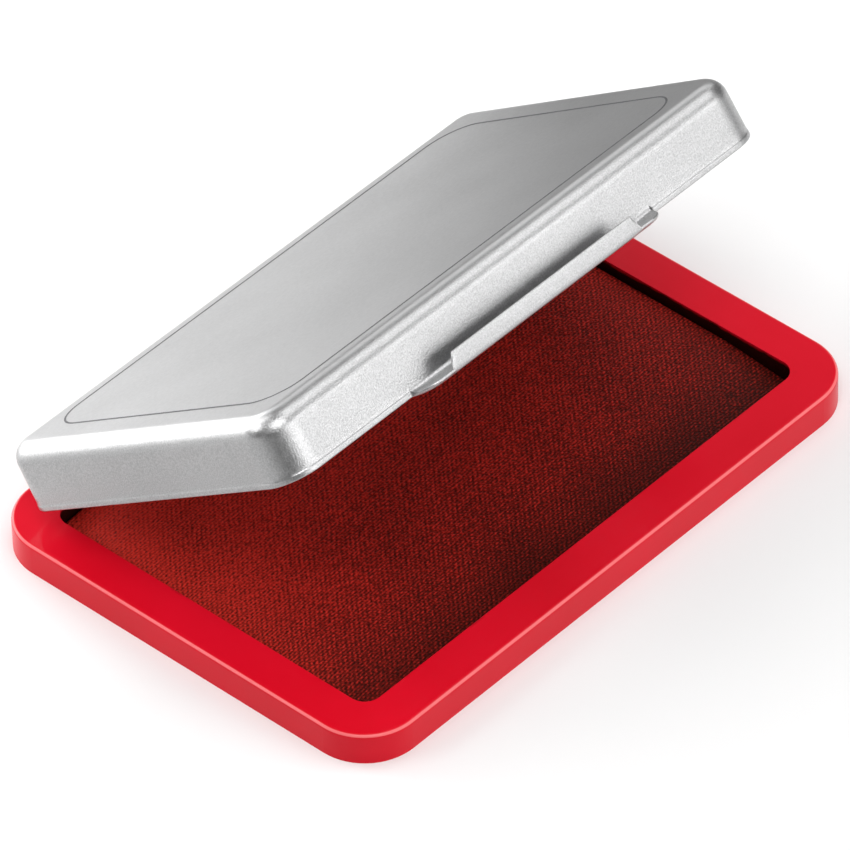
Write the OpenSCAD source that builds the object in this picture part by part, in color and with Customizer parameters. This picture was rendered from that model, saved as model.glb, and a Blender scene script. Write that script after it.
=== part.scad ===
// Stamp pad: moulded tray, inked pad and a hinged pressed-metal lid.
// Units are millimetres. X runs along the long side, -Y is the front, +Z is up.
// The origin is the middle of the tray's underside. The lid is drawn partly open.

/* [Tray] */
// Length over the rim
tray_l = 126; // [110:1:150]
// Depth over the rim, front to back
tray_w = 87.8; // [80:0.2:100]
// Height of the rim above the table
tray_h = 6.2; // [5.4:0.1:8]
// Radius of the outer corners, seen from above
tray_r = 10.5; // [8:0.5:13]
// Rounding along the top outer edge
tray_edge = 0.7; // [0.4:0.1:1]
// Width of the rim at the two short ends
rim_x = 8; // [7.5:0.1:9]
// Width of the rim along the two long sides
rim_y = 8; // [7.5:0.1:9]
// Corner radius of the well
well_r = 3.2; // [2:0.2:4]
// Thickness of the well floor
floor_t = 1; // [0.8:0.1:1.4]
// Height of the floor's underside above the table
floor_lift = 0.6; // [0.4:0.1:0.8]
// Wall thickness of the rim, which is hollow underneath
rim_wall = 1.6; // [1.2:0.1:2]

/* [Pad] */
// Thickness of the stiff board under the felt
board_t = 0.6; // [0.4:0.1:0.8]
// Thickness of the felt block
felt_t = 1.8; // [1.4:0.1:2]
// Thickness of the cover cloth
cloth_t = 0.5; // [0.4:0.1:0.6]
// Gap between the covered pad and the wall of the well
pad_gap = 0.3; // [0.2:0.1:0.5]

/* [Lid] */
// Length of the lid over its hem
lid_l = 118.2; // [106:0.2:120]
// Depth of the lid over its hem
lid_w = 76; // [74:0.2:78]
// Height of the lid
lid_h = 12.1; // [10:0.1:16]
// Sheet thickness
lid_t = 0.5; // [0.4:0.05:0.6]
// Radius of the rear corners, seen from above
lid_r = 5; // [4.8:0.2:8]
// Radius of the front corners, seen from above
lid_fr = 7; // [4.8:0.2:9]
// How far the walls lean in from hem to top
lid_draft = 0.2; // [0.1:0.1:0.8]
// Radius along the top edge
lid_edge = 3.5; // [2.4:0.1:3.6]
// Height of the thickened hem
hem_h = 1; // [0.8:0.1:1.4]
// How far the hem stands out of the wall
hem_out = 0.1; // [0.05:0.05:0.2]
// Angle the lid is open, as drawn
lid_open = 34.8; // [0:0.1:90]
// Gap between the closed lid and the rim
lid_seat = 0.05; // [0.02:0.01:0.2]

/* [Lifting lip] */
// Length of the lip where it leaves the front wall
lip_l = 60; // [50:1:70]
// How far the lip stands out of the hem
lip_out = 4.5; // [3.5:0.1:5.8]
// Length of the turned-up strip
strip_l = 46; // [40:1:50]
// Height of the turned-up strip
strip_h = 3.7; // [2.4:0.1:5]
// Outside radius of the bend under the strip
strip_bend = 1.1; // [0.9:0.1:1.5]

/* [Border line] */
// Length of the printed line's rectangle
line_l = 102.4; // [80:0.2:104]
// Depth of the printed line's rectangle
line_w = 64.8; // [50:0.2:66]
// Corner radius of the printed line
line_r = 7.5; // [4:0.1:10]
// Width of the printed line
line_t = 0.4; // [0.2:0.05:0.5]
// Thickness of the printed ink
line_ink = 0.03; // [0.02:0.01:0.05]

/* [Hinge] */
// Distance of the hinge line behind the closed lid's hem
hinge_back = 3.3; // [3:0.1:3.6]
// Height of the hinge line above the rim
hinge_up = 2.45; // [2.3:0.05:3]
// Distance of each hinge from the middle of the tray
hinge_x = 32; // [26:1:40]
// Pin diameter
pin_d = 1.8; // [1.6:0.1:2]
// Running clearance between pin and lid knuckle, on the radius
pin_clear = 0.05; // [0.02:0.01:0.09]
// Length of the lid's curled knuckle
knuckle_l = 14; // [10:1:16]
// Width of each moulded ear on the tray
ear_w = 4; // [3:0.5:5]
// Radius of the ears about the pin
ear_r = 2.2; // [2:0.1:2.3]
// Thickness of the curled sheet in the knuckle
curl_t = 0.6; // [0.5:0.05:0.7]

/* [Hidden] */
$fn = 64;

well_l = tray_l - 2 * rim_x;
well_w = tray_w - 2 * rim_y;
floor_z = floor_lift + floor_t;
board_z = floor_z + board_t;
felt_z = board_z + felt_t;
pad_z = felt_z + cloth_t;

seat_z = tray_h + lid_seat;
hinge_y = lid_w / 2 + hinge_back;
hinge_z = tray_h + hinge_up;
pin_r = pin_d / 2;
ear_gap = 0.1;

red = [0.84, 0.03, 0.12];
ink_red = [0.33, 0.04, 0.04];
silver = [0.80, 0.80, 0.81];
steel = [0.70, 0.70, 0.72];
board_grey = [0.55, 0.52, 0.47];
print_black = [0.08, 0.08, 0.09];

// Rounded rectangle seen from above, centred on the origin.
module plan(l, w, r) {
    square([l - 2 * r, w], center = true);
    square([l, w - 2 * r], center = true);
    for (sx = [-1, 1]) {
        for (sy = [-1, 1]) {
            translate([sx * (l / 2 - r), sy * (w / 2 - r)]) circle(r = r);
        }
    }
}

// Rounded slab from height z0 to z1.
module slab(l, w, r, z0, z1) {
    translate([0, 0, z0]) linear_extrude(height = z1 - z0) plan(l, w, r);
}

// Outer band of the tray, rounded at its top edge: x is the distance from a corner's centre.
module edge_section() {
    square([tray_r, tray_h - tray_edge]);
    square([tray_r - tray_edge, tray_h]);
    translate([tray_r - tray_edge, tray_h - tray_edge]) intersection() {
        circle(r = tray_edge);
        square(2 * tray_edge);
    }
}

// One side of the tray's block, with the rounded edge at +X, length n along Y.
module tray_side(n) {
    rotate([90, 0, 0]) linear_extrude(height = n, center = true) edge_section();
}

// The tray before its well and hollows are cut.
module tray_block() {
    cx = tray_l / 2 - tray_r;
    cy = tray_w / 2 - tray_r;
    for (s = [0 : 3]) {
        translate([(s == 0 || s == 3 ? 1 : -1) * cx, (s < 2 ? 1 : -1) * cy, 0]) rotate([0, 0, 90 * s])
            rotate_extrude(angle = 90) edge_section();
    }
    translate([cx, 0, 0]) tray_side(2 * cy);
    translate([-cx, 0, 0]) rotate([0, 0, 180]) tray_side(2 * cy);
    translate([0, cy, 0]) rotate([0, 0, 90]) tray_side(2 * cx);
    translate([0, -cy, 0]) rotate([0, 0, -90]) tray_side(2 * cx);
    translate([-cx, -cy, 0]) cube([2 * cx, 2 * cy, tray_h]);
}

// One moulded ear with its pin bore, at distance x along the hinge line.
module ear(x) {
    translate([x - ear_w / 2, 0, 0]) {
        translate([0, hinge_y, hinge_z]) rotate([0, 90, 0]) cylinder(r = ear_r, h = ear_w);
        translate([0, hinge_y - ear_r, tray_h - 0.8]) cube([ear_w, 2 * ear_r, hinge_up + 0.8]);
    }
}

// Hollow under the rim: a groove all the way round, left out where ribs cross it.
module rim_groove() {
    top = tray_h - rim_wall;
    difference() {
        slab(tray_l - 2 * rim_wall, tray_w - 2 * rim_wall, tray_r - rim_wall, -1, top);
        slab(well_l + 2 * rim_wall, well_w + 2 * rim_wall, well_r + rim_wall, -2, top + 1);
        for (x = [-45, -15, 15, 45]) {
            translate([x - 0.6, -tray_w, -2]) cube([1.2, 2 * tray_w, tray_h + 2]);
        }
        for (y = [-20, 0, 20]) {
            translate([-tray_l, y - 0.6, -2]) cube([2 * tray_l, 1.2, tray_h + 2]);
        }
    }
}

module tray() {
    knuckle_step = knuckle_l / 2 + ear_gap + ear_w / 2;
    color(red) difference() {
        union() {
            tray_block();
            for (s = [-1, 1]) {
                ear(s * hinge_x - knuckle_step);
                ear(s * hinge_x + knuckle_step);
            }
        }
        slab(well_l, well_w, well_r, floor_z, tray_h + 1);
        slab(well_l - 2, well_w - 2, well_r, -1, floor_lift);
        rim_groove();
        translate([-tray_l, hinge_y, hinge_z]) rotate([0, 90, 0])
            cylinder(r = pin_r + 0.02, h = 2 * tray_l);
    }
}

module pad_board() {
    color(board_grey) slab(well_l - 1, well_w - 1, well_r - 0.5, floor_z, board_z);
}

module felt_core() {
    inset = 2 * (pad_gap + cloth_t);
    color(ink_red) slab(well_l - inset, well_w - inset, well_r - 0.8, board_z, felt_z);
}

// Cloth drawn over the felt and down its sides.
module pad_cloth() {
    inset = 2 * (pad_gap + cloth_t);
    color(ink_red) difference() {
        slab(well_l - 2 * pad_gap, well_w - 2 * pad_gap, well_r - 0.3, board_z, pad_z);
        slab(well_l - inset, well_w - inset, well_r - 0.8, board_z - 1, felt_z);
    }
}

// Section of the lid's wall at a corner of radius r: x is the distance from its centre.
module wall_section(r) {
    out = r - hem_out;
    top = out - lid_draft;
    bend_z = lid_h - lid_edge;
    polygon([[out - lid_t, 0], [out, 0], [top, bend_z], [top - lid_t, bend_z]]);
    polygon([[out - lid_t, 0], [r, 0], [r, hem_h - 0.3], [out - 0.05, hem_h], [out - lid_t, hem_h]]);
    translate([top - lid_edge, bend_z]) difference() {
        intersection() {
            circle(r = lid_edge);
            square(2 * lid_edge);
        }
        circle(r = lid_edge - lid_t);
    }
    translate([0, lid_h - lid_t]) square([top - lid_edge, lid_t]);
}

// One side of the lid, with the wall at +X, length n along Y.
module lid_side(n, r) {
    rotate([90, 0, 0]) linear_extrude(height = n, center = true) wall_section(r);
}

// Curled knuckle with its tongue, at the rear of the closed lid.
module knuckle(x) {
    roll = pin_r + pin_clear + curl_t;
    translate([x - knuckle_l / 2, 0, 0]) {
        translate([0, hinge_y, hinge_z]) rotate([0, 90, 0]) cylinder(r = roll, h = knuckle_l);
        translate([0, lid_w / 2 - hem_out - 0.35, hinge_z - roll])
            cube([knuckle_l, hinge_back + hem_out + 0.35, curl_t]);
    }
}

// Lip along the front: a flat shelf with rounded ends and a turned-up strip.
module lip() {
    front = lid_w / 2;
    linear_extrude(height = lid_t) difference() {
        union() {
            for (s = [-1, 1]) {
                translate([s * (lip_l / 2 - lip_out), -front]) circle(r = lip_out);
            }
            translate([-lip_l / 2 + lip_out, -front - lip_out]) square([lip_l - 2 * lip_out, lip_out]);
        }
        translate([-lip_l, -front + 0.6]) square([2 * lip_l, 2 * lip_out]);
        translate([-strip_l / 2, -front - 2 * lip_out])
            square([strip_l, lip_out + strip_bend]);
    }
    translate([-strip_l / 2, 0, 0]) rotate([90, 0, 90]) linear_extrude(height = strip_l) {
        translate([-front - lip_out + strip_bend, strip_bend]) difference() {
            intersection() {
                circle(r = strip_bend);
                translate([-2 * strip_bend, -2 * strip_bend]) square(2 * strip_bend);
            }
            circle(r = strip_bend - lid_t);
        }
        translate([-front - lip_out, strip_bend]) square([lid_t, strip_h - strip_bend]);
    }
}

// Lid in its closed place, lowered so its hem is at height 0.
module lid_closed() {
    rx = lid_l / 2 - lid_r;
    ry = lid_w / 2 - lid_r;
    fx = lid_l / 2 - lid_fr;
    fy = lid_w / 2 - lid_fr;
    for (s = [0, 1]) {
        translate([(s == 0 ? 1 : -1) * rx, ry, 0]) rotate([0, 0, 90 * s])
            rotate_extrude(angle = 90) wall_section(lid_r);
        translate([(s == 0 ? 1 : -1) * fx, -fy, 0]) rotate([0, 0, 270 - 90 * s])
            rotate_extrude(angle = 90) wall_section(lid_fr);
    }
    translate([fx, (ry - fy) / 2, 0]) lid_side(fy + ry, lid_fr);
    translate([-fx, (ry - fy) / 2, 0]) rotate([0, 0, 180]) lid_side(fy + ry, lid_fr);
    translate([0, ry, 0]) rotate([0, 0, 90]) lid_side(2 * rx, lid_r);
    translate([0, -fy, 0]) rotate([0, 0, -90]) lid_side(2 * fx, lid_fr);
    translate([-fx, -fy, lid_h - lid_t]) cube([2 * fx, fy + ry, lid_t]);
    lip();
}

// Swings anything about the hinge line, from closed to the drawn angle.
module swing() {
    translate([0, hinge_y, hinge_z]) rotate([-lid_open, 0, 0])
        translate([0, -hinge_y, -hinge_z]) children();
}

module lid() {
    color(silver) swing() difference() {
        union() {
            translate([0, 0, seat_z]) lid_closed();
            for (s = [-1, 1]) {
                knuckle(s * hinge_x);
            }
        }
        translate([-lid_l, hinge_y, hinge_z]) rotate([0, 90, 0])
            cylinder(r = pin_r + pin_clear, h = 2 * lid_l);
    }
}

module border_line() {
    color(print_black) swing() translate([0, 0, seat_z + lid_h]) linear_extrude(height = line_ink) difference() {
        plan(line_l, line_w, line_r);
        plan(line_l - 2 * line_t, line_w - 2 * line_t, line_r - line_t);
    }
}

module hinge_pins() {
    length = knuckle_l + 2 * ear_gap + 2 * ear_w - 0.6;
    color(steel) for (s = [-1, 1]) {
        translate([s * hinge_x, hinge_y, hinge_z]) rotate([0, 90, 0])
            cylinder(r = pin_r, h = length, center = true);
    }
}

tray();
pad_board();
felt_core();
pad_cloth();
lid();
border_line();
hinge_pins();
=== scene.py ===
import math

import bmesh
import bpy
from mathutils import Matrix, Vector


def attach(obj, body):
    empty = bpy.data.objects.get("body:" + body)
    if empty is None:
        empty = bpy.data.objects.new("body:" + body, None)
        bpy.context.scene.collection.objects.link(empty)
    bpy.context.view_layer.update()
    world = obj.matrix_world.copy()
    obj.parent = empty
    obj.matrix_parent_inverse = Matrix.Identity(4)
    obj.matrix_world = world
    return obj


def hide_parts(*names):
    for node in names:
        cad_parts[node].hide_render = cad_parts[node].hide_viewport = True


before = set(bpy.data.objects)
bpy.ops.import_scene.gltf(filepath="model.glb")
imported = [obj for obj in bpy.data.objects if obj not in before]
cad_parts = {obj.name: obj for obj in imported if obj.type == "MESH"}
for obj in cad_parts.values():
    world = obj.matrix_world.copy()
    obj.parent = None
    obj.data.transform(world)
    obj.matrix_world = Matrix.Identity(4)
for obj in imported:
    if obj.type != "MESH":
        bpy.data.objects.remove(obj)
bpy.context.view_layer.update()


# ---------------------------------------------------------------- camera
# A long lens well away from the pad, looking down on its near left corner,
# so that the long edges stay almost parallel.
mm = 0.001
camera_azimuth = math.radians(-46.916)
camera_elevation = math.radians(42.200)
camera_roll = math.radians(-1.636)
camera_distance = 1668.5 * mm
camera_target = Vector((5.954, 6.041, 2.433)) * mm
focal_in_frame_widths = 9749.3 / 850.0

towards_camera = Vector(
    (
        math.sin(camera_azimuth) * math.cos(camera_elevation),
        -math.cos(camera_azimuth) * math.cos(camera_elevation),
        math.sin(camera_elevation),
    )
)
level_right = (-towards_camera).cross(Vector((0, 0, 1))).normalized()
level_up = level_right.cross(-towards_camera)
camera_right = level_right * math.cos(camera_roll) + level_up * math.sin(camera_roll)
camera_up = level_up * math.cos(camera_roll) - level_right * math.sin(camera_roll)

camera_data = bpy.data.cameras.new("camera")
camera_data.sensor_width = 36.0
camera_data.lens = 36.0 * focal_in_frame_widths
camera_data.clip_start = 0.05
camera_data.clip_end = 50.0
camera = bpy.data.objects.new("camera", camera_data)
camera.matrix_world = Matrix.Translation(camera_target + towards_camera * camera_distance) @ Matrix(
    (camera_right, camera_up, towards_camera)
).transposed().to_4x4()
bpy.context.collection.objects.link(camera)
bpy.context.scene.camera = camera


# ---------------------------------------------------------------- table and light
# A plain pale table under soft panels: broad ones overhead and in front, and
# smaller ones at the sides and behind that the lid's rounded edges pick up.
# Two cards on the table tone down what the lid's polished walls reflect.
scene = bpy.context.scene
scene.view_settings.view_transform = "Standard"
scene.view_settings.look = "None"

table_mesh = bpy.data.meshes.new("table")
table_build = bmesh.new()
bmesh.ops.create_grid(table_build, x_segments=2, y_segments=2, size=3.0)
table_build.to_mesh(table_mesh)
table_build.free()
table = bpy.data.objects.new("table", table_mesh)
bpy.context.collection.objects.link(table)
table_paint = bpy.data.materials.new("table_paint")
table_paint.use_nodes = True
table_shader = table_paint.node_tree.nodes["Principled BSDF"]
table_shader.inputs["Base Color"].default_value = (0.76, 0.76, 0.76, 1)
table_shader.inputs["Roughness"].default_value = 0.9
table_shader.inputs["Specular IOR Level"].default_value = 0.2
table_mesh.materials.append(table_paint)

world = bpy.data.worlds.new("studio")
scene.world = world
world.use_nodes = True
background = world.node_tree.nodes["Background"]
background.inputs["Color"].default_value = (1, 1, 1, 1)
background.inputs["Strength"].default_value = 0.12


def softbox(name, place, aim, size, radiance):
    """A rectangular light at place, in metres, turned to face aim."""
    lamp = bpy.data.lights.new(name, "AREA")
    lamp.shape = "RECTANGLE"
    lamp.size, lamp.size_y = size
    lamp.energy = radiance * math.pi * size[0] * size[1]
    holder = bpy.data.objects.new(name, lamp)
    holder.location = place
    holder.rotation_euler = (Vector(aim) - Vector(place)).to_track_quat("-Z", "Y").to_euler()
    holder.visible_camera = False
    bpy.context.collection.objects.link(holder)


softbox("front_left", (-0.5, -0.5, 1.2), (0, 0, 0), (0.9, 0.9), 4.0)
softbox("right", (0.6, -0.05, 1.3), (0, 0, 0), (1.0, 1.0), 2.3)
softbox("low_front", (0.32, -0.55, 0.28), (0, 0, 0.03), (0.8, 0.55), 1.15)
softbox("front_strip", (0.45, -0.58, 0.43), (0, 0, 0.01), (0.4, 0.12), 3.5)
softbox("front_corner", (-0.02, -0.60, 0.30), (0, 0, 0.03), (0.44, 0.30), 2.2)
softbox("left", (-0.62, 0.42, 0.47), (0, 0, 0.02), (0.34, 0.24), 7.0)
softbox("back_right", (0.38, 0.58, 0.36), (0, 0, 0.03), (0.95, 0.36), 1.4)
softbox("behind", (-0.08, 0.36, 0.10), (0, 0, 0.03), (0.38, 0.20), 4.4)
softbox("behind_high", (-0.30, 0.72, 0.64), (0, 0, 0.02), (0.45, 0.80), 2.6)


def dark_card(name, middle, length, width, tone):
    """A card lying on the table that only the polished faces can see."""
    mesh = bpy.data.meshes.new(name)
    build = bmesh.new()
    bmesh.ops.create_grid(build, x_segments=2, y_segments=2, size=0.5)
    bmesh.ops.scale(build, vec=(length, width, 1), verts=build.verts)
    build.to_mesh(mesh)
    build.free()
    card = bpy.data.objects.new(name, mesh)
    card.location = (*middle, 0.0005)
    for ray in ("visible_camera", "visible_diffuse", "visible_shadow"):
        setattr(card, ray, False)
    bpy.context.collection.objects.link(card)
    paper = bpy.data.materials.new(name)
    paper.use_nodes = True
    paper_shader = paper.node_tree.nodes["Principled BSDF"]
    paper_shader.inputs["Base Color"].default_value = (tone, tone, tone, 1)
    mesh.materials.append(paper)


dark_card("card_behind", (0.31, 0.27), 0.4, 0.4, 0.20)
dark_card("card_left", (-0.165, 0.02), 0.19, 0.4, 0.52)


# ---------------------------------------------------------------- tray
# One moulding in satin red plastic: a wide flat rim round a well, a skirt
# that is hollow underneath, and two pairs of ears for the hinge pins.
def shader_of(material):
    return material.node_tree.nodes["Principled BSDF"]


def new_material(name):
    material = bpy.data.materials.new(name)
    material.use_nodes = True
    return material


def place_node(material, kind, **settings):
    node = material.node_tree.nodes.new(kind)
    for key, value in settings.items():
        if key in node.inputs:
            node.inputs[key].default_value = value
        else:
            setattr(node, key, value)
    return node


def join(material, source, output, target, into):
    material.node_tree.links.new(source.outputs[output], target.inputs[into])


def build_grain():
    """Fine noise in the object's own space, spread between a low and a high level."""
    group = bpy.data.node_groups.new("grain", "ShaderNodeTree")
    sockets = group.interface
    stretch = sockets.new_socket("Stretch", in_out="INPUT", socket_type="NodeSocketVector")
    stretch.default_value = (1, 1, 1)
    for name, value in (("Scale", 1000.0), ("Detail", 2.0), ("Low", 0.0), ("High", 1.0)):
        sockets.new_socket(name, in_out="INPUT", socket_type="NodeSocketFloat").default_value = value
    sockets.new_socket("Level", in_out="OUTPUT", socket_type="NodeSocketFloat")
    entry = group.nodes.new("NodeGroupInput")
    leave = group.nodes.new("NodeGroupOutput")
    place = group.nodes.new("ShaderNodeTexCoord")
    scaled = group.nodes.new("ShaderNodeVectorMath")
    scaled.operation = "MULTIPLY"
    noise = group.nodes.new("ShaderNodeTexNoise")
    spread = group.nodes.new("ShaderNodeMapRange")
    spread.inputs["From Min"].default_value = 0.3
    spread.inputs["From Max"].default_value = 0.7
    link = group.links.new
    link(place.outputs["Object"], scaled.inputs[0])
    link(entry.outputs["Stretch"], scaled.inputs[1])
    link(scaled.outputs[0], noise.inputs["Vector"])
    link(entry.outputs["Scale"], noise.inputs["Scale"])
    link(entry.outputs["Detail"], noise.inputs["Detail"])
    link(noise.outputs["Fac"], spread.inputs["Value"])
    link(entry.outputs["Low"], spread.inputs["To Min"])
    link(entry.outputs["High"], spread.inputs["To Max"])
    link(spread.outputs["Result"], leave.inputs["Level"])
    return group


grain_group = build_grain()


def grain(material, scale, low=0.0, high=1.0, detail=2.0, stretch=(1, 1, 1)):
    node = material.node_tree.nodes.new("ShaderNodeGroup")
    node.node_tree = grain_group
    node.inputs["Scale"].default_value = scale
    node.inputs["Detail"].default_value = detail
    node.inputs["Low"].default_value = low
    node.inputs["High"].default_value = high
    node.inputs["Stretch"].default_value = stretch
    return node


def ramp(material, source, output, stops):
    """A colour ramp fed by source; stops are (position, colour)."""
    node = place_node(material, "ShaderNodeValToRGB")
    bar = node.color_ramp
    for element, (position, colour) in zip(bar.elements, (stops[0], stops[-1])):
        element.position = position
        element.color = (*colour, 1)
    for position, colour in stops[1:-1]:
        bar.elements.new(position).color = (*colour, 1)
    join(material, source, output, node, "Fac")
    return node


def maths(material, operation, first, second=0.0):
    """A sum on two inputs, each a number or a (node, output) pair."""
    node = place_node(material, "ShaderNodeMath", operation=operation)
    for index, value in enumerate((first, second)):
        if isinstance(value, tuple):
            join(material, value[0], value[1], node, index)
        else:
            node.inputs[index].default_value = value
    return node


def product(material, first, *others):
    """First multiplied by each of the others, as a (node, output) pair."""
    for other in others:
        first = (maths(material, "MULTIPLY", first, other), 0)
    return first


def total(material, first, *others):
    """First with each of the others added, as a (node, output) pair."""
    for other in others:
        first = (maths(material, "ADD", first, other), 0)
    return first


def step_between(material, source, output, start, stop):
    """0 before start, 1 after stop, and a smooth rise between them."""
    node = place_node(material, "ShaderNodeMapRange", interpolation_type="SMOOTHSTEP")
    node.inputs["From Min"].default_value = start
    node.inputs["From Max"].default_value = stop
    join(material, source, output, node, "Value")
    return node


def mix_colour(material, share, first, second):
    """First where share is 0, second where it is 1; each a colour or a (node, output) pair."""
    node = place_node(material, "ShaderNodeMix", data_type="RGBA")
    join(material, *share, node, 0)
    for index, value in ((6, first), (7, second)):
        if len(value) == 2:
            join(material, value[0], value[1], node, index)
        else:
            node.inputs[index].default_value = (*value, 1)
    return node


red_plastic = new_material("red_plastic")
red = shader_of(red_plastic)
red.inputs["Specular IOR Level"].default_value = 0.12
red.inputs["Specular Tint"].default_value = (1.0, 0.06, 0.20, 1)
red.inputs["Coat Weight"].default_value = 0.22
red.inputs["Coat Roughness"].default_value = 0.10
join(red_plastic, grain(red_plastic, 90, 0.30, 0.38, 3.0), "Level", red, "Roughness")
where = place_node(red_plastic, "ShaderNodeTexCoord")
axes = place_node(red_plastic, "ShaderNodeSeparateXYZ")
join(red_plastic, where, "Object", axes, "Vector")

# Ink has crept up the walls of the well, and stops short of the rim.
stain_x = step_between(red_plastic, maths(red_plastic, "ABSOLUTE", (axes, "X")), 0, 0.0556, 0.0552)
stain_y = step_between(red_plastic, maths(red_plastic, "ABSOLUTE", (axes, "Y")), 0, 0.0365, 0.0361)
stain_edge = total(red_plastic, (axes, "Z"), (grain(red_plastic, 260, -0.0003, 0.0003, 3.0), "Level"))
stain_z = step_between(red_plastic, *stain_edge, 0.00615, 0.0054)
stain = product(red_plastic, (stain_x, 0), (stain_y, 0), (stain_z, 0))
moulded = ramp(
    red_plastic, grain(red_plastic, 45, 0, 1, 3.0), "Level",
    ((0, (0.54, 0.0025, 0.012)), (1, (0.595, 0.0035, 0.016))),
)
stained = mix_colour(red_plastic, stain, (moulded, "Color"), (0.016, 0.0025, 0.0015))

# Painted highlight: the rounded top edge is painted paler pink where the surface faces part way up, standing
# in for the shine along it.
facing = place_node(red_plastic, "ShaderNodeSeparateXYZ")
join(red_plastic, where, "Normal", facing, "Vector")
highlight_above = step_between(red_plastic, facing, "Z", 0.97, 0.88)
highlight_below = step_between(red_plastic, facing, "Z", 0.30, 0.55)
highlight_at_rim = step_between(red_plastic, axes, "Z", 0.00635, 0.00625)
painted_highlight = product(red_plastic, (highlight_above, 0), (highlight_below, 0), (highlight_at_rim, 0), 0.55)
# The pale pink mixed in here is a painted highlight along the edge, not wear.
highlighted = mix_colour(red_plastic, painted_highlight, (stained, 2), (0.90, 0.26, 0.26))
join(red_plastic, highlighted, 2, red, "Base Color")
peel_bump = place_node(red_plastic, "ShaderNodeBump", Strength=0.12, Distance=0.00002)
join(red_plastic, grain(red_plastic, 2600), "Level", peel_bump, "Height")
join(red_plastic, peel_bump, "Normal", red, "Normal")


def finish_node(node, material):
    """Gives a CAD node its material in every slot."""
    if not node.material_slots:
        node.data.materials.append(material)
    for material_slot in node.material_slots:
        material_slot.material = material


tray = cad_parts["tray"]
finish_node(tray, red_plastic)
tray.modifiers.new("even_shading", "WEIGHTED_NORMAL")


# ---------------------------------------------------------------- pad board
# Stiff pressed board under the felt. It keeps the pad flat and is hidden
# once the cloth is on.
board_paper = new_material("board_paper")
board = shader_of(board_paper)
board.inputs["Roughness"].default_value = 0.85
fibre_tint = ramp(
    board_paper, grain(board_paper, 700, detail=5.0), "Level",
    ((0, (0.20, 0.17, 0.13)), (1, (0.36, 0.32, 0.26))),
)
join(board_paper, fibre_tint, "Color", board, "Base Color")
finish_node(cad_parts["pad_board"], board_paper)


# ---------------------------------------------------------------- felt core
# A block of wool felt soaked with ink, crowned a little in the middle and
# hidden under the cloth.
def ring_mesh(name, rings, cap_last=True):
    """A skin through rings of points with the same number in each."""
    build = bmesh.new()
    made = [[build.verts.new(point) for point in ring] for ring in rings]
    count = len(rings[0])
    for upper, lower in zip(made, made[1:]):
        for i in range(count):
            j = (i + 1) % count
            build.faces.new((upper[i], lower[i], lower[j], upper[j]))
    build.faces.new(made[0])
    if cap_last:
        build.faces.new(list(reversed(made[-1])))
    bmesh.ops.recalc_face_normals(build, faces=build.faces)
    mesh = bpy.data.meshes.new(name)
    build.to_mesh(mesh)
    build.free()
    for face in mesh.polygons:
        face.use_smooth = True
    piece = bpy.data.objects.new(name, mesh)
    bpy.context.collection.objects.link(piece)
    return piece


def rounded_outline(length, width, radius, corner_steps=10, side_steps=16):
    """Points round a rounded rectangle, anticlockwise, in millimetres."""
    points = []
    half = (length / 2 - radius, width / 2 - radius)
    for quarter, (sx, sy) in enumerate(((1, 1), (-1, 1), (-1, -1), (1, -1))):
        for step in range(corner_steps + 1):
            angle = math.radians(90 * (quarter + step / corner_steps))
            points.append(
                (sx * half[0] + radius * math.cos(angle), sy * half[1] + radius * math.sin(angle))
            )
        next_sx, next_sy = ((-1, 1), (-1, -1), (1, -1), (1, 1))[quarter]
        end_angle = math.radians(90 * (quarter + 1))
        start = points[-1]
        finish = (
            next_sx * half[0] + radius * math.cos(end_angle),
            next_sy * half[1] + radius * math.sin(end_angle),
        )
        for step in range(1, side_steps):
            t = step / side_steps
            points.append((start[0] + (finish[0] - start[0]) * t, start[1] + (finish[1] - start[1]) * t))
    return points


board_top = 2.2
felt_top = 4.0
cloth_top = 4.5
well_length, well_width = 110.0, 71.8


def pad_sag(x, y):
    """How far the pad's top lies below its crown at x, y, in millimetres."""
    to_end = well_length / 2 - abs(x)
    to_side = well_width / 2 - abs(y)
    sag = 0.28 * math.exp(-to_end / 5.0) + 0.35 * math.exp(-to_side / 6.0)
    corner = math.hypot(max(0.0, 16 - to_end), max(0.0, 16 - to_side)) / 16
    both = max(0.0, 1 - to_end / 14) * max(0.0, 1 - to_side / 14)
    sag += 1.25 * both ** 0.8 * min(1.0, corner)
    return sag


def pad_rings(length, width, radius, top, bottom, edge):
    """Rings for a crowned pad: down the middle, over the edge and down the side."""
    rings = []
    flat_length, flat_width = length - 2 * edge, width - 2 * edge
    outline = rounded_outline(flat_length, flat_width, max(radius - edge, 0.6))
    for share in (0.03, 0.15, 0.3, 0.45, 0.58, 0.68, 0.76, 0.82, 0.87, 0.91, 0.94, 0.965, 0.985, 1.0):
        shrunk = [(x * share, y * share) for x, y in outline]
        rings.append([(x * mm, y * mm, (top - pad_sag(x, y)) * mm) for x, y in shrunk])
    for step in range(1, 7):
        angle = math.radians(90 * step / 6)
        grow = edge * math.sin(angle)
        drop = edge * (1 - math.cos(angle))
        grown = rounded_outline(flat_length + 2 * grow, flat_width + 2 * grow, max(radius - edge + grow, 0.6))
        rings.append(
            [(x * mm, y * mm, (top - pad_sag(*flat) - drop) * mm) for (x, y), flat in zip(grown, outline)]
        )
    last = rings[-1]
    for share in (0.5, 1.0):
        rings.append([(x, y, z + (bottom * mm - z) * share) for x, y, z in last])
    return rings


wet_felt = new_material("wet_felt")
felt_shader = shader_of(wet_felt)
felt_shader.inputs["Roughness"].default_value = 0.8
wool = grain(wet_felt, 1500, detail=6.0)
wool_tint = ramp(wet_felt, wool, "Level", ((0, (0.03, 0.003, 0.003)), (1, (0.14, 0.012, 0.012))))
join(wet_felt, wool_tint, "Color", felt_shader, "Base Color")
wool_bump = place_node(wet_felt, "ShaderNodeBump", Strength=0.6, Distance=0.0002)
join(wet_felt, wool, "Level", wool_bump, "Height")
join(wet_felt, wool_bump, "Normal", felt_shader, "Normal")

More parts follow.
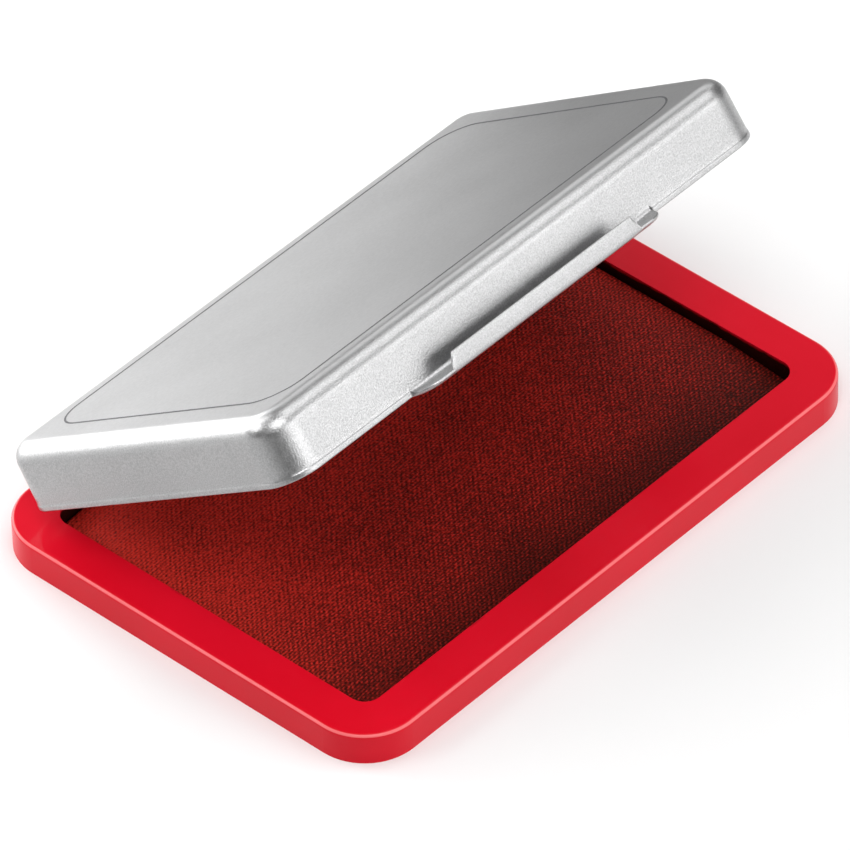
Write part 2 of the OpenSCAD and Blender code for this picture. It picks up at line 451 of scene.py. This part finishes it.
felt = ring_mesh("felt_block", pad_rings(108.2, 70.0, 2.2, felt_top - 0.02, board_top + 0.02, 0.5))
felt.data.materials.append(wet_felt)
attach(felt, "base")
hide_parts("felt_core")


# ---------------------------------------------------------------- cover cloth
# Fine ribbed knit, drawn tight over the felt, down its sides and tucked in
# against the board. It is wet with dark red ink, and its colour follows the relief of the ribs, with painted
# shade darkest in the hollows between them.
inked_knit = new_material("inked_knit")
knit = shader_of(inked_knit)
knit.inputs["Roughness"].default_value = 0.66
knit.inputs["Specular IOR Level"].default_value = 0.3
knit.inputs["Specular Tint"].default_value = (1.0, 0.2, 0.15, 1)
ribs_per_mm, rib_lean_per_mm, stitches_per_mm = 1.72, 0.096, 0.85
turn = 2 * math.pi * 1000
where = place_node(inked_knit, "ShaderNodeTexCoord")
axes = place_node(inked_knit, "ShaderNodeSeparateXYZ")
join(inked_knit, where, "Object", axes, "Vector")
across = product(inked_knit, (axes, "Y"), -ribs_per_mm * turn)
lean_of_ribs = product(inked_knit, (axes, "X"), rib_lean_per_mm * turn)
wander = grain(inked_knit, 170, -1.3, 1.3)
rib_phase = total(inked_knit, across, lean_of_ribs, (wander, "Level"))
rib = maths(inked_knit, "SINE", rib_phase)
along = product(inked_knit, (axes, "X"), stitches_per_mm * turn)
half_drop = total(inked_knit, along, product(inked_knit, rib_phase, 0.5))
stitch = maths(inked_knit, "SINE", half_drop)
fuzz = grain(inked_knit, 2300, -0.9, 0.9, 3.0)
rib_relief = product(inked_knit, (rib, 0), 0.42)
stitch_relief = product(inked_knit, (stitch, 0), 0.34)
# This relief also sets the colour below, darkest in the hollows between the ribs: painted shade.
relief = total(inked_knit, rib_relief, stitch_relief, (fuzz, "Level"))

# The ink is uneven at random. On top of that, painted light makes the pad lighter toward the near end and the
# rear, against the lid's shade, and painted shade darkens it along the front edge, so it is darker toward the
# front and the far end.
wetness = grain(inked_knit, 60, -0.18, 0.18, 3.0)
painted_light_to_near_end = product(inked_knit, (axes, "X"), -6.0)
painted_light_to_rear = product(inked_knit, (axes, "Y"), 24.0)
front_edge = step_between(inked_knit, axes, "Y", -0.020, -0.036)
painted_shade_at_front = product(inked_knit, (front_edge, 0), -0.38)
tone = total(inked_knit, relief, (wetness, "Level"), painted_light_to_near_end, painted_light_to_rear, painted_shade_at_front)
level = place_node(inked_knit, "ShaderNodeMapRange")
level.inputs["From Min"].default_value = -1.5
level.inputs["From Max"].default_value = 1.5
join(inked_knit, *tone, level, "Value")
knit_tint = ramp(
    inked_knit, level, "Result",
    (
        (0, (0.014, 0.0015, 0.001)), (0.38, (0.13, 0.006, 0.004)),
        (0.72, (0.42, 0.018, 0.012)), (1, (0.62, 0.030, 0.020)),
    ),
)
join(inked_knit, knit_tint, "Color", knit, "Base Color")
knit_bump = place_node(inked_knit, "ShaderNodeBump", Strength=0.6, Distance=0.00012)
join(inked_knit, *relief, knit_bump, "Height")
join(inked_knit, knit_bump, "Normal", knit, "Normal")

cloth = ring_mesh(
    "cover_cloth",
    pad_rings(well_length - 0.6, well_width - 0.6, 2.9, cloth_top, board_top + 0.05, 0.75),
    cap_last=False,
)
cloth.data.materials.append(inked_knit)
thickness = cloth.modifiers.new("thickness", "SOLIDIFY")
thickness.thickness = 0.3 * mm
thickness.offset = -1
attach(cloth, "base")
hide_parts("pad_cloth")


# ---------------------------------------------------------------- lid shell
# Pressed from one sheet half a millimetre thick: flat top, walls that lean
# in a little, a thickened hem, and on the front wall a lip whose edge is
# turned up for the fingers. It is modelled closed and swung open.
lid_length, lid_width, lid_height = 118.2, 76.0, 12.1
rear_corner, front_corner = 5.0, 7.0
hem_out = 0.1
lean = 0.2
edge_radius = 3.5
sheet = 0.5
rim_top = 6.2
seat = 0.05
hinge_line = Vector((0, 41.3, 8.65)) * mm
lid_open = math.radians(34.8)
lip_half = 30.0
lip_reach = 4.5
strip_foot, strip_head = 23.4, 22.2
strip_height = 3.7
taper_height = 1.0

wall_inset = hem_out + lean
bend_height = lid_height - edge_radius


def arc(cx, cy, radius, start, stop, steps):
    """Points on an arc in the section, angles in degrees."""
    return [
        (
            cx + radius * math.cos(math.radians(start + (stop - start) * k / steps)),
            cy + radius * math.sin(math.radians(start + (stop - start) * k / steps)),
        )
        for k in range(steps + 1)
    ]


def wall_at(height):
    return hem_out + lean * height / bend_height


# Sections are (inset from the hem's outline, height above the hem).
top_section = [(4.6, lid_height)] + arc(wall_inset + edge_radius, bend_height, edge_radius, 90, 180, 14)
top_section += [(wall_at(h), h) for h in (8.0, 6.6, 5.2, 4.1)]
inside_section = [(sheet + wall_at(h), h) for h in (0.5, 3.0, 6.0)]
inside_section += arc(wall_inset + edge_radius, bend_height, edge_radius - sheet, 180, 90, 10)
inside_section += [(4.6, lid_height - sheet)]

# The hem swells out of the wall, drops straight and rounds under to the inside.
hem_section = [(wall_at(h), h) for h in (3.2, 2.2, 1.7, 1.45)]
hem_section += [
    (hem_out * swell, h) for swell, h in (
        (1.08, 1.28), (1.0, 1.17), (0.8, 1.09), (0.5, 1.02), (0.22, 0.94), (0.07, 0.86),
    )
]
hem_section += [(0.0, h) for h in (0.78, 0.70, 0.62, 0.55, 0.49, 0.45, 0.41, 0.37, 0.33, 0.28)]
hem_section += [(0.005, 0.22), (0.02, 0.16), (0.045, 0.11), (0.08, 0.07), (0.13, 0.03), (0.19, 0.005)]
hem_section += [(0.25, 0.0), (0.40, 0.0), (0.56, 0.05), (0.60, 0.2)]


def lip_section(height):
    """The hem drawn out into a shelf, with its edge turned up to a height."""
    strip_out = -lip_reach
    bend, inner_bend = 1.1, 1.1 - sheet
    section = [(wall_at(3.2), 3.2)] + arc(wall_at(1.7) - 1.2, 1.7, 1.2, 0, -90, 6)
    section += [(-2.0, sheet)]
    section += arc(strip_out + bend, bend, inner_bend, 270, 180, 4)
    section += [
        (strip_out + across, strip_height - down)
        for across, down in ((sheet, 0.22), (0.43, 0.07), (0.25, 0), (0.07, 0.07), (0, 0.22))
    ]
    section += [(strip_out, 2.1)] + arc(strip_out + bend, bend, bend, 180, 270, 6)
    section += [(-2.0, 0.0), (0.40, 0.0), (0.56, 0.05), (0.60, 0.2)]
    squeeze = (height - sheet) / (strip_height - sheet)
    return [
        (d, h if h <= sheet or d > -2.0 else sheet + (h - sheet) * squeeze)
        for d, h in section
    ]


def lower_section(along, front):
    """The section below the wall, at a distance along the front from its middle."""
    out = abs(along)
    if not front or out >= lip_half:
        return hem_section
    start = lip_half - lip_reach
    reach = 1.0 if out <= start else math.sqrt(max(0.0, 1 - ((out - start) / lip_reach) ** 2))
    if out <= strip_head:
        height = strip_height
    elif out >= strip_foot:
        height = taper_height
    else:
        cut = (out - strip_head) / (strip_foot - strip_head)
        height = strip_height + (taper_height - strip_height) * cut
    drawn = lip_section(height)
    return [
        (hem[0] * (1 - reach) + lip[0] * reach, hem[1] * (1 - reach) + lip[1] * reach)
        for hem, lip in zip(hem_section, drawn)
    ]


def lid_stations():
    """Places round the lid: corner centre, corner radius, outward direction, distance along the front."""
    rear_x, rear_y = lid_length / 2 - rear_corner, lid_width / 2 - rear_corner
    front_x, front_y = lid_length / 2 - front_corner, lid_width / 2 - front_corner
    corners = (
        (rear_x, rear_y, rear_corner), (-rear_x, rear_y, rear_corner),
        (-front_x, -front_y, front_corner), (front_x, -front_y, front_corner),
    )
    taper = [
        lip_half - lip_reach + lip_reach * math.sin(math.radians(a))
        for a in (8, 15, 22, 30, 36, 42, 48, 53, 58, 62, 66, 70, 74, 77, 80, 83, 86, 88, 90)
    ]
    right = [2, 6, 10, 14, 18, 21, strip_head - 0.05, strip_head, (strip_head + strip_foot) / 2]
    right += [strip_foot, strip_foot + 0.05] + taper + [30.6, 33, 38, 44, 49]
    places = []
    for quarter, (cx, cy, radius) in enumerate(corners):
        for step in range(21):
            angle = math.radians(90 * (quarter + step / 20))
            places.append((cx, cy, radius, math.cos(angle), math.sin(angle), None))
        nx, ny = ((0, 1), (-1, 0), (0, -1), (1, 0))[quarter]
        if quarter == 2:
            for along in [-u for u in reversed(right)] + right:
                places.append((along, -front_y, front_corner, 0.0, -1.0, along))
        else:
            ex, ey, end_radius = corners[(quarter + 1) % 4]
            steps = 10 if quarter == 0 else 7
            for step in range(1, steps):
                t = step / steps
                bend = radius + (end_radius - radius) * t
                places.append((cx + (ex - cx) * t, cy + (ey - cy) * t, bend, nx, ny, None))
    return places


def lid_rings():
    """Rings round the lid, from the top's edge down the outside and up the inside."""
    columns = []
    for cx, cy, radius, nx, ny, along in lid_stations():
        section = top_section + lower_section(along or 0.0, along is not None) + inside_section
        columns.append(
            [((cx + nx * (radius - d)) * mm, (cy + ny * (radius - d)) * mm, h * mm) for d, h in section]
        )
    return [list(ring) for ring in zip(*columns)]


about_hinge = Matrix.Rotation(-lid_open, 4, "X")
to_open = Matrix.Translation(hinge_line) @ about_hinge @ Matrix.Translation(-hinge_line)
on_rim = Matrix.Translation((0, 0, (rim_top + seat) * mm))

satin_sheet = new_material("satin_sheet")
metal = shader_of(satin_sheet)
metal.inputs["Metallic"].default_value = 1.0

# The face is rolled smoother than the walls, so the speckle fades above the bend.
where = place_node(satin_sheet, "ShaderNodeTexCoord")
up_from_lid = to_open.to_3x3() @ Vector((0, 0, 1))
lid_up = place_node(satin_sheet, "ShaderNodeVectorMath", operation="DOT_PRODUCT")
join(satin_sheet, where, "Object", lid_up, 0)
lid_up.inputs[1].default_value = up_from_lid
face_level = up_from_lid.dot(to_open @ Vector((0, 0, (rim_top + seat + lid_height) * mm)))
face = step_between(satin_sheet, lid_up, "Value", face_level - 0.0013, face_level - 0.00005)
coarse = maths(satin_sheet, "SUBTRACT", 1.0, product(satin_sheet, (face, 0), 0.82))
speckle = grain(satin_sheet, 3800, -0.5, 0.5, 2.0)
speckle_here = product(satin_sheet, (speckle, "Level"), (coarse, 0))
cloudy = grain(satin_sheet, 55, -0.12, 0.12, 3.0)
shade = total(satin_sheet, speckle_here, (cloudy, "Level"), 0.5)
sheet_tint = ramp(
    satin_sheet, *shade,
    ((0, (0.37, 0.37, 0.373)), (0.5, (0.45, 0.45, 0.453)), (1, (0.53, 0.53, 0.533))),
)
join(satin_sheet, sheet_tint, "Color", metal, "Base Color")
join(satin_sheet, grain(satin_sheet, 1400, 0.31, 0.39, 2.0), "Level", metal, "Roughness")
sheet_bump = place_node(satin_sheet, "ShaderNodeBump", Strength=0.5, Distance=0.00004)
join(satin_sheet, *speckle_here, sheet_bump, "Height")
join(satin_sheet, sheet_bump, "Normal", metal, "Normal")

lid_shell = ring_mesh("lid_shell", lid_rings())
lid_shell.data.transform(to_open @ on_rim)
lid_shell.data.materials.append(satin_sheet)
even_shading = lid_shell.modifiers.new("even_shading", "WEIGHTED_NORMAL")
even_shading.keep_sharp = True
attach(lid_shell, "cover")
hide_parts("lid")


# ---------------------------------------------------------------- lid knuckles
# Two tongues left on the rear wall when the sheet is cut, each curled round
# its pin into a tube with a narrow gap where the curl meets the tongue.
knuckle_length = 14.0
hinge_spacing = 32.0
pin_radius = 0.9
running_gap = 0.05
curl = 0.6
rear_wall_y = lid_width / 2 - hem_out - 0.3


def knuckle(name, middle):
    """One tongue and its curl, at a distance along the hinge line, swung open."""
    inner = pin_radius + running_gap
    outer = inner + curl
    hy, hz = hinge_line.y / mm, hinge_line.z / mm
    under = [(rear_wall_y, hz - outer), (rear_wall_y + 1.2, hz - outer)] + arc(hy, hz, outer, -90, 205, 34)
    over = [(rear_wall_y, hz - inner), (rear_wall_y + 1.2, hz - inner)] + arc(hy, hz, inner, -90, 205, 34)
    loop = under + list(reversed(over))
    rings = []
    half = knuckle_length / 2
    for x, shrink in ((-half, 0.12), (-half + 0.12, 0.0), (half - 0.12, 0.0), (half, 0.12)):
        middle_line = [((a[0] + b[0]) / 2, (a[1] + b[1]) / 2) for a, b in zip(under, over)]
        ring = []
        for k, (y, z) in enumerate(loop):
            my, mz = middle_line[k] if k < len(under) else middle_line[len(loop) - 1 - k]
            share = 1 - shrink / (curl / 2)
            ring.append(((middle + x) * mm, (my + (y - my) * share) * mm, (mz + (z - mz) * share) * mm))
        rings.append(ring)
    piece = ring_mesh(name, rings)
    piece.data.transform(to_open)
    return piece


for side, name in ((-1, "knuckle_left"), (1, "knuckle_right")):
    tongue = knuckle(name, side * hinge_spacing)
    tongue.data.materials.append(satin_sheet)
    tongue.modifiers.new("even_shading", "WEIGHTED_NORMAL")
    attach(tongue, "cover")
    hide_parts("lid")


# ---------------------------------------------------------------- border line
# A fine dark line printed on the lid's face, a little in from the edge and
# following its outline.
print_ink = new_material("print_ink")
ink = shader_of(print_ink)
ink.inputs["Roughness"].default_value = 0.5
ink_tint = ramp(
    print_ink, grain(print_ink, 900), "Level", ((0, (0.03, 0.03, 0.033)), (1, (0.08, 0.08, 0.085)))
)
join(print_ink, ink_tint, "Color", ink, "Base Color")
finish_node(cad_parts["border_line"], print_ink)


# ---------------------------------------------------------------- hinge pins
# Two lengths of drawn steel wire, pushed through the ears and knuckles, with
# the marks of the die running along them.
drawn_wire = new_material("drawn_wire")
wire = shader_of(drawn_wire)
wire.inputs["Base Color"].default_value = (0.50, 0.50, 0.52, 1)
wire.inputs["Metallic"].default_value = 1.0
draw_marks = grain(drawn_wire, 2.0, 0.22, 0.42, 3.0, stretch=(60, 1500, 1500))
join(drawn_wire, draw_marks, "Level", wire, "Roughness")
finish_node(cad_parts["hinge_pins"], drawn_wire)


bpy.context.view_layer.update()
